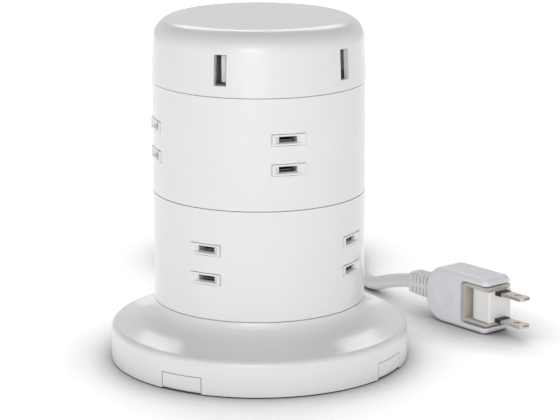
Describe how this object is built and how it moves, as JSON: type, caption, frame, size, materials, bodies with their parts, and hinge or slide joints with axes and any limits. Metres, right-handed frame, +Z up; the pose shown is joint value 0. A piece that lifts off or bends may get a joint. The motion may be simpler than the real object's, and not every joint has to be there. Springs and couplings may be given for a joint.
{
  "type": "tower power strip",
  "caption": "Round tower power strip: two tiers of two-pin outlets under a USB tier, on a flared base with pull-out feet, a mains lead and a swing plug.",
  "frame": {"origin": "centre of the round base, on the surface it stands on (the lead, its gland and the plug are left out of the measure)", "axes": "+Z up along the tower's axis; -Y is the front, with an outlet 16 degrees to its right; +X right"},
  "size_m": [0.1864, 0.2819, 0.1508],
  "materials": {
    "base_grey": "moulded grey plastic, fine spark texture",
    "blade_nickel": "nickel-plated brass, lightly brushed",
    "board_green": "solder-masked laminate",
    "capacitor_sleeve": "shrink sleeve",
    "carrier_plastic": "natural heat-resistant moulding",
    "chip_black": "epoxy package",
    "contact_gold": "gold flash",
    "contact_tin": "stamped phosphor bronze, tin-plated",
    "fuse_case": "moulded case",
    "head_white": "moulded warm white plastic, satin",
    "housing_white": "moulded white ABS, satin",
    "lead_white": "soft PVC sheath, satin",
    "liner_beige": "moulded beige insulator",
    "pad_rubber": "soft grey rubber",
    "plug_white": "moulded cool white plastic, satin",
    "port_steel": "tin-plated pressed steel",
    "screw_steel": "zinc-plated steel",
    "sleeve_black": "moulded insulating sleeve",
    "tongue_white": "moulded white insulator",
    "transformer_core": "ferrite core with tape",
    "wire_black": "PVC insulation",
    "wire_white": "PVC insulation"
  },
  "bodies": {
    "root": {"base_plate": "base_grey", "base_screws": "screw_steel", "base_skirt": "housing_white", "board_fuse": "fuse_case", "board_screws": "screw_steel", "cap_screws": "screw_steel", "clamp_screws": "screw_steel", "controller_chips": "chip_black", "cord_clamp": "base_grey", "cord_gland": "lead_white", "filter_capacitors": "capacitor_sleeve", "lead_sheath_end": "lead_white", "live_wire": "wire_black", "lower_carrier_screws": "screw_steel", "lower_contact_carrier": "carrier_plastic", "lower_live_bus_bar": "contact_tin", "lower_neutral_bus_bar": "contact_tin", "lower_tier_housing": "housing_white", "lower_tier_screws": "screw_steel", "mains_lead_coil": "lead_white", "mains_lead_to_coil": "lead_white", "mains_lead_to_plug": "lead_white", "neutral_wire": "wire_white", "plug_contact_strips": "contact_tin", "plug_front_shell": "plug_white", "plug_liner": "liner_beige", "plug_pivot_pins": "screw_steel", "plug_rear_shell": "plug_white", "plug_strain_relief": "lead_white", "plug_wires": "wire_black", "rubber_pads": "pad_rubber", "top_cap": "housing_white", "upper_carrier_screws": "screw_steel", "upper_contact_carrier": "carrier_plastic", "upper_live_bus_bar": "contact_tin", "upper_neutral_bus_bar": "contact_tin", "upper_tier_housing": "housing_white", "upper_tier_screws": "screw_steel", "usb_board": "board_green", "usb_contacts": "contact_gold", "usb_port_shells": "port_steel", "usb_tongues": "tongue_white", "usb_transformer": "transformer_core"},
    "swing_head": {"plug_head": "head_white", "plug_blades": "blade_nickel", "blade_sleeves": "sleeve_black"},
    "foot_1": {"stabiliser_foot_1": "housing_white"},
    "foot_2": {"stabiliser_foot_2": "housing_white"},
    "foot_3": {"stabiliser_foot_3": "housing_white"},
    "foot_4": {"stabiliser_foot_4": "housing_white"}
  },
  "joints": [
    {"name": "foot_1_slide", "type": "slide", "parent": "root", "child": "foot_1", "axis": [-0.5, -0.866, 0], "range_m": [0, 0.022]},
    {"name": "foot_2_slide", "type": "slide", "parent": "root", "child": "foot_2", "axis": [0.866, -0.5, 0], "range_m": [0, 0.022]},
    {"name": "foot_3_slide", "type": "slide", "parent": "root", "child": "foot_3", "axis": [0.5, 0.866, 0], "range_m": [0, 0.022]},
    {"name": "foot_4_slide", "type": "slide", "parent": "root", "child": "foot_4", "axis": [-0.866, 0.5, 0], "range_m": [0, 0.022]},
    {"name": "plug_swing", "type": "hinge", "parent": "root", "child": "swing_head", "pos_m": [0.10418, 0.03585, 0.013], "axis": [0, 0, 1], "range_deg": [-90, 90]}
  ]
}
